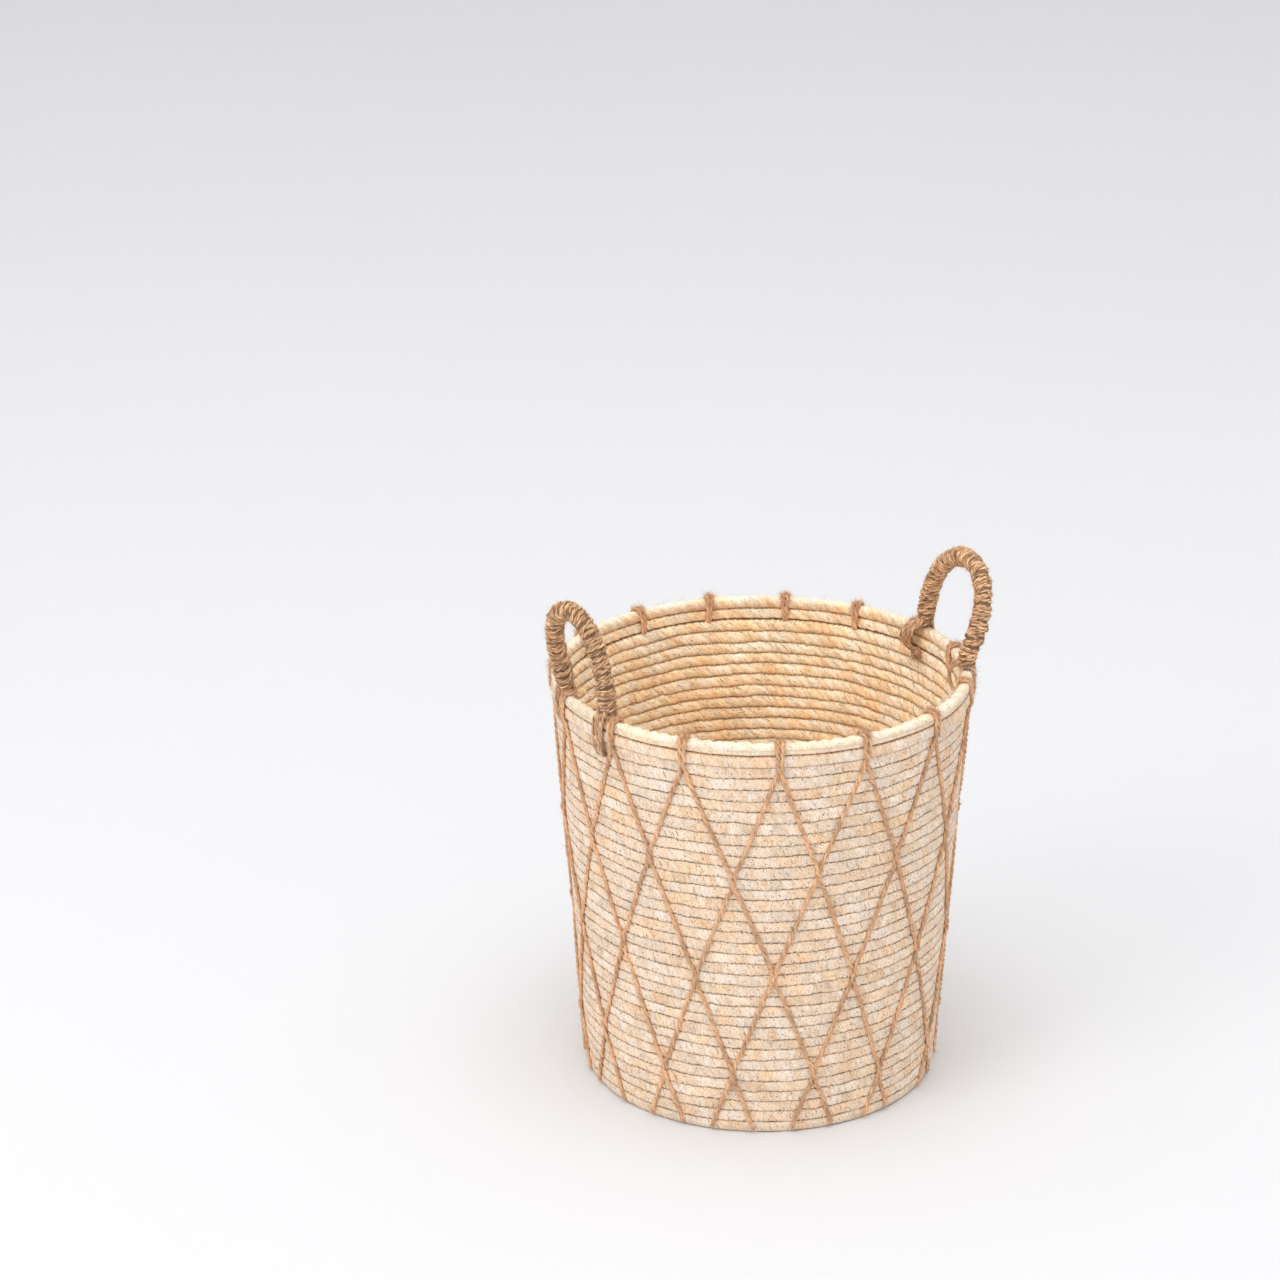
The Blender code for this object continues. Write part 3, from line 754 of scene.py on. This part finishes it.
def diagonal_path(run, runs, z):
    """Angle and height above the wall of one diagonal, pinched where it meets the others."""
    number, sign, start, end = run
    radius = face_radius(z)
    own = run_angle(start, end, z)
    angle, lift = own.copy(), np.zeros_like(z)
    meetings = []
    for other, other_sign, top, bottom in runs:
        for lap in (-TAU, 0.0, TAU):
            part = (top + lap - start) / ((end - start) - (bottom - top) or 1.0)
            if other_sign != sign and other != number and 0.02 < part < 1.0:
                meetings.append((part, top + lap, bottom + lap))
    for level, (_, top, bottom) in enumerate(sorted(meetings), start=1):
        half = (own - run_angle(top, bottom, z)) / 2 * radius
        size = np.abs(half)
        near = np.exp(-(size / 0.0034) ** 4)
        pinched = np.sign(half) * (CROSSING_GAP * np.tanh(size / 0.0006) * near
                                   + size * (1 - near))
        angle += (pinched - half) / radius
        over = (level + (sign > 0)) % 2 == 0
        lift += np.exp(-(half / 0.0016) ** 2) * (0.0013 if over else -0.0002)
    return angle, lift


def strand_paths(run, runs, rng):
    """Centre line and normals of half a strand: standing edge, diagonal, over the rim, inside."""
    number, sign, *_ = run
    z = np.arange(0.0012, SPLIT_Z, 0.0010)
    angle, lift = diagonal_path(run, runs, z)
    radius = face_radius(z) + 0.0010 + lift
    wander = 0.0004 * np.cumsum(rng.normal(size=len(z))) / math.sqrt(len(z))
    angle = angle + wander / radius
    diagonal = cylinder_points(angle, radius, z)
    out = cylinder_points(angle, 1.0, np.zeros_like(z))
    anchor = math.radians(STRANDS[number][0])
    side = PAIR_OFFSET * sign * rng.uniform(0.70, 0.86)
    twist = rng.uniform(-0.4, 0.4)
    slant = 0.0020 * math.sin(2.4 * number + 0.7)
    steps = np.array((   # share sideways, offset from RIM_MID, height, normal (2), slant share
        (0.62, OVER_RIM - 0.0019, 0.2795, 1.0, 0.0, 0.0),
        (0.50 + twist * 0.3, OVER_RIM - 0.0003, 0.2825, 1.0, 0.0, 0.0),
        (0.85, OVER_RIM - 0.0001, 0.2870, 1.0, 0.0, 0.0),
        (1.00, OVER_RIM, 0.2920, 1.0, 0.0, 0.0),
        (1.00, OVER_RIM - 0.0003, 0.2962, 0.9, 0.4, 0.0),
        (1.02, OVER_RIM - 0.0019, 0.2992, 0.6, 0.8, 0.0),
        (1.05, 0.0000, 0.3003, 0.0, 1.0, 0.1),
        (1.00, 0.0017 - OVER_RIM, 0.2994, -0.6, 0.8, 0.25),
        (0.90, 0.0003 - OVER_RIM, 0.2964, -0.9, 0.4, 0.4),
        (0.75, -OVER_RIM - 0.0001, 0.2920, -1.0, 0.0, 0.6),
        (0.55, -OVER_RIM - 0.0001, 0.2868, -1.0, 0.0, 0.85),
        (0.45, 0.0003 - OVER_RIM, 0.2832, -0.9, -0.3, 1.0),
        (0.40, 0.0020 - OVER_RIM, 0.2814, -0.3, -0.9, 1.0),
        (0.35, 0.0005, 0.2812, 0.0, -1.0, 1.0)))
    ring_radius = RIM_MID + steps[:, 1]
    ring_angle = anchor + (side * steps[:, 0] + slant * steps[:, 5]) / ring_radius
    points = cylinder_points(ring_angle, ring_radius, steps[:, 2])
    normals = cylinder_points(ring_angle, steps[:, 3], steps[:, 4])
    control = np.vstack((diagonal[-12::4][:2], points))
    control_n = np.vstack((out[-12::4][:2], normals))
    path = np.vstack((diagonal[:-12], curve(control, 0.0010)))
    normal = np.vstack((out[:-12], curve(control_n, 0.0010, control)))
    return path, unit(normal)


def curve(control, step, measure=None):
    """A smooth Catmull-Rom line through control points, sampled about every step."""
    measure = control if measure is None else measure
    gaps = np.maximum(np.linalg.norm(np.diff(measure, axis=0), axis=1), 1e-6)
    extended = np.vstack((2 * control[0] - control[1], control, 2 * control[-1] - control[-2]))
    rows = []
    for i, gap in enumerate(gaps):
        count = max(2, int(round(gap / step)))
        t = (np.arange(count) / count)[:, None]
        p0, p1, p2, p3 = extended[i:i + 4]
        rows.append(0.5 * (2 * p1 + (p2 - p0) * t + (2 * p0 - 5 * p1 + 4 * p2 - p3) * t ** 2
                           + (3 * p1 - p0 - 3 * p2 + p3) * t ** 3))
    rows.append(control[-1:])
    return np.vstack(rows)


def twisted(piece, rng, path, normal, ply_radius, spread, pitch, sides, vary=0.06):
    """Two plies laid round each other along a path; spread is (across, outwards)."""
    tangent = unit(np.gradient(path, axis=0))
    across = unit(np.cross(tangent, normal))
    out = unit(np.cross(across, tangent))
    length = travel(path)
    wobble = 0.8 * np.sin(length / 0.021 + rng.uniform(0, TAU)) + rng.uniform(0, TAU)
    paths, radii, waves = [], [], []
    for ply in range(2):
        turn = TAU * length / pitch + wobble + TAU * ply / 2
        paths.append(path + across * (spread[0] * np.cos(turn))[:, None]
                     + out * (spread[1] * np.sin(turn))[:, None])
        shade_wave = rng.normal(0, 1, int(length[-1] / 0.0045) + 2)
        waves.append(np.interp(length / 0.0045, np.arange(len(shade_wave)), shade_wave))
        swell = (1 + 0.10 * np.sin(length / 0.0047 + rng.uniform(0, TAU))
                 + 0.07 * np.sin(length / 0.0019 + rng.uniform(0, TAU)))
        ends = np.clip(np.minimum(length, length[-1] - length) / 0.003, 0.05, 1.0)
        radii.append(ply_radius * swell * ends)
    paths, radii = np.array(paths), np.array(radii)
    normals = np.broadcast_to(normal, paths.shape)
    drift = 0.10 * np.sin(length / 0.013 + rng.uniform(0, TAU)) + 0.06 * np.sin(length / 0.0041)
    shade = np.ones(3) * (1 + rng.normal(0, 0.07, (2, 1, 1)) + drift[None, :, None]
                          + vary * np.clip(np.array(waves), -2, 2)[..., None])
    tubes(piece, paths, radii, normals, sides, shade, 0.9, rng.uniform(0, 9))


def hairs(piece, rng, path, normal, count, lengths, thickness, reach):
    """Short fibres that have come loose along a path."""
    where = rng.integers(2, len(path) - 2, count)
    tangent = unit(path[where + 1] - path[where - 1])
    out = normal[where]
    across = np.cross(tangent, out)
    turn = rng.uniform(-0.25, 1.25, count) * math.pi
    away = unit(across * np.cos(turn)[:, None] + out * np.sin(turn)[:, None])
    along = rng.choice((-1.0, 1.0), count)[:, None] * rng.uniform(0.4, 1.4, count)[:, None]
    heading = unit(tangent * along + away * rng.uniform(0.3, 1.0, count)[:, None])
    size = rng.uniform(*lengths, count)
    bend = rng.normal(0, 0.30, (count, 3))
    fibres(piece, rng, path[where] + away * reach, heading, bend, size, away[:, None], thickness)


def build_lattice(material):
    """Fifteen strands: two diagonals each, doubled over the rim."""
    runs = lattice_runs()
    for number in range(len(STRANDS)):
        rng = seeded(300 + number)
        piece = Piece()
        for run in runs[2 * number:2 * number + 2]:
            path, normal = strand_paths(run, runs, rng)
            twisted(piece, rng, path, normal, 0.00092, (0.00078, 0.00052), TWIST_PITCH, 7)
            hairs(piece, rng, path, normal, 260, (0.0015, 0.0042), 0.00008, 0.0009)
            over = np.flatnonzero(path[:, 2] > BODY_HEIGHT - 0.001)
            tuft = slice(over[0] - 3, over[-1] + 3)
            hairs(piece, rng, path[tuft], normal[tuft], 130, (0.0022, 0.0056), 0.00011, 0.0007)
        settle(piece.build(f"twine_{number + 1:02d}", material), "basket", "jute_twine",
               f"twine_strand_{number + 1:02d}")


# ---- handles ----
LINE_STEP = 0.0005             # distance between the points of a handle's line
WRAP_DROP = 0.0090             # length of wrapping below the hinge
YARN_PITCH = 0.0029            # mean distance between turns of yarn
YARN_STEPS = 46                # points along one turn
ROPE_SIDES = 14
ROPE_RADIUS = 0.0056


def arch(handle, turn):
    """Points of a handle's rope line, from one foot (turn 0) over the top to the other (pi)."""
    middle, leg = math.radians(handle["middle"]), math.radians(handle["leg"])
    rise, along = np.sin(turn), -np.cos(turn)
    x = handle["lean"] * rise + 2 * handle["twist"] * along * rise + RIM_MID * math.cos(leg)
    y = RIM_MID * math.sin(leg) * along * (1 + handle["bulge"] * rise)
    return np.stack((x * math.cos(middle) - y * math.sin(middle),
                     x * math.sin(middle) + y * math.cos(middle),
                     handle["height"] * rise + AXIS_Z), -1)


def wrap_line(handle):
    """The wrapped length: from just above the rim at one foot, over the arch, to the other."""
    turn = np.linspace(0, math.pi, 400)
    line = arch(handle, turn)
    tail = np.linspace(WRAP_DROP, LINE_STEP, 8)[:, None] * np.array((0, 0, 1.0))
    first, last = line[0] - tail, line[-1] - tail[::-1]
    whole = np.vstack((first, line, last))
    length = travel(whole)
    even = np.arange(0, length[-1], LINE_STEP)
    line = np.stack([np.interp(even, length, whole[:, i]) for i in range(3)], 1)
    for _ in range(12):
        line[1:-1] = (line[:-2] + 2 * line[1:-1] + line[2:]) / 4
    return even, line


def line_frame(handle, line):
    """Two directions across a handle's line, the first one outwards."""
    outwards, _ = directions(math.radians(handle["middle"]))
    tangent = unit(np.gradient(line, axis=0))
    side = unit(outwards - tangent * (tangent @ outwards)[:, None])
    return side, np.cross(tangent, side)


def build_wrap(which, handle, rng, material):
    """Two-ply yarn wound tightly round the handle's rope, with uneven turns."""
    even, line = wrap_line(handle)
    side, third = line_frame(handle, line)
    total = even[-1]
    turns = int(total / YARN_PITCH)
    turn = np.arange(turns * YARN_STEPS) * TAU / YARN_STEPS
    ends = np.cumsum(rng.uniform(0.72, 1.30, turns + 1))
    ends = (ends - ends[0]) / (ends[-1] - ends[0]) * (total - 0.0016) + 0.0008

    def per_turn(values):
        return np.interp(turn / TAU, np.arange(turns + 1), values)

    along = per_turn(ends)
    tilt = per_turn(rng.normal(0.0009, 0.0009, turns + 1))
    facing = per_turn(rng.uniform(0, TAU, turns + 1))
    along = np.clip(along + tilt * np.cos(turn - facing), 0.0, total - 0.0006)
    swell = per_turn(rng.normal(0, 0.00028, turns + 1))
    closeness = np.clip(np.minimum(along, total - along) / 0.010, 0, 1)
    reach = ((WRAP_OUTER - 0.0012) * (0.86 + 0.14 * closeness) + swell
             + 0.0002 * np.sin(turn * 2.3))
    pick = along / LINE_STEP
    low = np.clip(pick.astype(int), 0, len(line) - 2)
    part = (pick - low)[:, None]
    centre = line[low] * (1 - part) + line[low + 1] * part
    outward = side[low] * np.cos(turn)[:, None] + third[low] * np.sin(turn)[:, None]
    path = centre + outward * reach[:, None]
    piece = Piece()
    twisted(piece, rng, path, outward, 0.00086, (0.00074, 0.00046), TWIST_PITCH, 7, vary=0.22)
    hairs(piece, rng, path, outward, 2600, (0.0015, 0.0048), 0.00007, 0.0009)
    bend_at_rim(piece.build(f"handle_{which}_yarn", material), "jute_wrap",
                f"handle_{which}_wrap")


def build_core(which, handle, material):
    """The rope inside the wrapping."""
    even, line = wrap_line(handle)
    side, third = (values[::4, None] for values in line_frame(handle, line))
    steps = even[::4]
    size = ROPE_RADIUS * np.clip(np.minimum(steps, even[-1] - steps) / 0.002 + 0.35, 0, 1)
    around = np.arange(ROPE_SIDES)[:, None] * TAU / ROPE_SIDES
    points = line[::4, None] + size[:, None, None] * (side * np.cos(around)
                                                      + third * np.sin(around))
    grain = stacked(steps[:, None], around[:, 0] * 0.005, 0.3)
    piece = Piece()
    piece.add(points, grid_faces(len(steps), ROPE_SIDES, False, True), PLAIN, grain)
    bend_at_rim(piece.build(f"handle_{which}_rope", material), "jute_core",
                f"handle_{which}_core")


def bend_at_rim(obj, slot, node):
    """The piece rides on no body: the named solid is hidden and the placement baked into the
    points.
    """
    settle(obj, None, slot, node)
    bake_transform(obj)


ROOTS = {                      # per foot: outer and inner bundle (strands, bulge, sway, low end)
    ("right", "a"): ((3, 0.0004, -0.0020, 0.2790), (4, 0.0060, 0.0030, 0.2768), False),
    ("right", "b"): ((3, 0.0003, 0.0000, 0.2800), (7, 0.0076, 0.0068, 0.2785), True),
    ("left", "a"): ((4, 0.0012, 0.0010, 0.2790), (3, 0.0012, 0.0000, 0.2815), False),
    ("left", "b"): ((6, 0.0012, -0.0030, 0.2725), (3, 0.0014, 0.0000, 0.2815), False)}


def directions(angle):
    """Away from the basket's axis, and along the rim."""
    cosine, sine = math.cos(angle), math.sin(angle)
    return np.array((cosine, sine, 0.0)), np.array((-sine, cosine, 0.0))


def root_bundle(piece, rng, angle, side, count, bulge, sway, low):
    """Strands side by side on the outer (side 1) or inner (-1) half of the rim."""
    out, along = directions(angle)
    deep = 0.2965 - low
    for i in range(count):
        shift = (i - (count - 1) / 2) * 0.00165 + rng.normal(0, 0.0002)
        wide = OVER_RIM + rng.uniform(-0.0001, 0.0008) - (0.0008 if side > 0 else 0.0)
        rows = (                  # offset from the rim's middle, height, spread, sway
            (0.0008, 0.3125, 0.30, 0.0), (0.0026, 0.3078, 0.50, 0.0),
            (wide - 0.0012 + 0.4 * bulge, 0.3030, 0.80, 0.15),
            (wide + 0.85 * bulge, 0.2985, 1.0, 0.5),
            (wide + bulge, 0.2965 - 0.20 * deep, 1.0, 0.85),
            (wide + 0.85 * bulge, 0.2965 - 0.50 * deep, 0.9, 1.0),
            (wide + 0.35 * bulge, 0.2965 - 0.78 * deep, 0.75, 0.8),
            (wide - 0.0015, low + 0.0004, 0.65, 0.5), (0.0006, low, 0.60, 0.4))
        control = np.array([out * (RIM_MID + side * d) + along * (shift * share + sway * s)
                            + (0, 0, z) for d, z, share, s in rows])
        normal = np.array([out * side * (0.2 + min(1.0, row[0] / OVER_RIM)) + (0, 0, 0.3)
                           for row in rows])
        path = curve(control, 0.0007)
        normals = unit(curve(normal, 0.0007, control))
        twisted(piece, rng, path, normals, 0.00078, (0.00060, 0.00048), 0.0095, 6, vary=0.20)
        hairs(piece, rng, path, normals, 60, (0.0015, 0.0045), 0.00009, 0.0008)


def build_root(which, letter, sign, rng, material):
    """Loose strands from inside the wrapping, astride the rim, down through the wall."""
    handle = HANDLES[which]
    angle = math.radians(handle["middle"] + sign * handle["leg"])
    outer, inner, knotted = ROOTS[which, letter]
    piece = Piece()
    root_bundle(piece, rng, angle, 1, *outer)
    root_bundle(piece, rng, angle, -1, *inner)
    if knotted:
        out, along = directions(angle)
        centre = out * (RIM_MID - OVER_RIM - 0.0030) + along * 0.0002 + (0, 0, 0.2812)
        frayed_knot(piece, rng, centre, -out, along)
    name = f"handle_{which}_root_{letter}"
    bend_at_rim(piece.build(f"{name}_strands", material), "jute_root", name)


def frayed_knot(piece, rng, centre, out, along):
    """A small tight knot with cut, opened-out ends."""
    turn = np.linspace(0, 3.2 * TAU, 150)[:, None]
    up = np.array((0.0, 0.0, 1.0))
    ring = 0.0032 + 0.0006 * np.sin(turn * 0.61)
    path = (centre + along * (ring * np.cos(turn)) + up * (0.0028 * np.sin(turn))
            + out * (0.0016 * np.sin(turn * 0.5)))
    normals = unit(path - centre + out * 0.002)
    twisted(piece, rng, path, normals, 0.00080, (0.00060, 0.00050), 0.0070, 6)
    count = 260
    start = centre + rng.normal(0, 0.0014, (count, 3))
    heading = unit(along * rng.normal(-0.9, 0.6, (count, 1))
                   + up * rng.normal(-0.4, 0.5, (count, 1))
                   + out * rng.uniform(0.1, 0.7, (count, 1)))
    size = rng.uniform(0.003, 0.0075, count)
    bend = rng.normal(0, 0.3, (count, 3))
    fibres(piece, rng, start, heading, bend, size, out, 0.00016, spread=(0.6, 1.3), steps=5,
           thinning=0.6, sides=4, pale=0.0, uneven=0.12)


def build_handles(yarn, rope, loose):
    """Both handles with their wrapped yarn, inner rope and root strands."""
    for number, (which, handle) in enumerate(HANDLES.items()):
        rng = seeded(900 + number)
        build_wrap(which, handle, rng, yarn)
        build_core(which, handle, rope)
        for letter, sign in (("a", -1), ("b", 1)):
            build_root(which, letter, sign, rng, loose)


# ---- everything ----
build_camera(bpy.context.scene)
build_light(bpy.context.scene)
build_floor(bpy.context.scene)
edges = row_edges(seeded(11))
husk = husk_material("husk_outer_strips", (0.875, 0.695, 0.525), 0.35)
husk_inner = husk_material("husk_inner_strips", (0.98, 0.80, 0.585), -0.95, fleck_start=0.652)
# its base is lighter than the wall's husk: partly the smoother husk of the rim, partly painted
# light from above
rim = husk_material("husk_rim_strips", (0.93, 0.80, 0.62), 0.9, roughness=0.62, sheen=0.12,
                    fibre=0.18, slit=0.5, fleck=0.7)
golden = husk_material("husk_base_strips", (0.95, 0.74, 0.50), -0.95)
thread = jute_material("sewing_thread", (0.84, 0.66, 0.47), (0.66, 0.48, 0.32))
fluff = jute_material("husk_fluff", (0.95, 0.84, 0.66), (0.84, 0.68, 0.48))
twine = jute_material("jute_twine_fibres", (0.88, 0.56, 0.335), (0.52, 0.27, 0.138))
yarn = jute_material("jute_yarn_fibres", (0.93, 0.60, 0.345), (0.21, 0.085, 0.034), 0.385, 0.565)
rope = jute_material("jute_rope_fibres", (0.30, 0.17, 0.09), (0.16, 0.09, 0.05))
loose = jute_material("jute_root_fibres", (0.93, 0.60, 0.36), (0.25, 0.12, 0.06), 0.38, 0.58)
first = 0
for number, last in enumerate((7, 14, 21, 28, 34)):
    wall_band(seeded(40 + number), f"wall_rows_{first + 1:02d}_{last:02d}",
              first, last, edges, husk, husk_inner)
    first = last
rim_ropes(seeded(60), edges, rim, husk, husk_inner)
base_spiral(seeded(61), golden)
sewing(seeded(62), "stitches_outside", edges, "outside", range(1, 34), thread)
sewing(seeded(63), "stitches_inside", edges, "inside", range(2, 34), thread)
husk_whiskers(seeded(64), fluff)
build_lattice(twine)
build_handles(yarn, rope, loose)
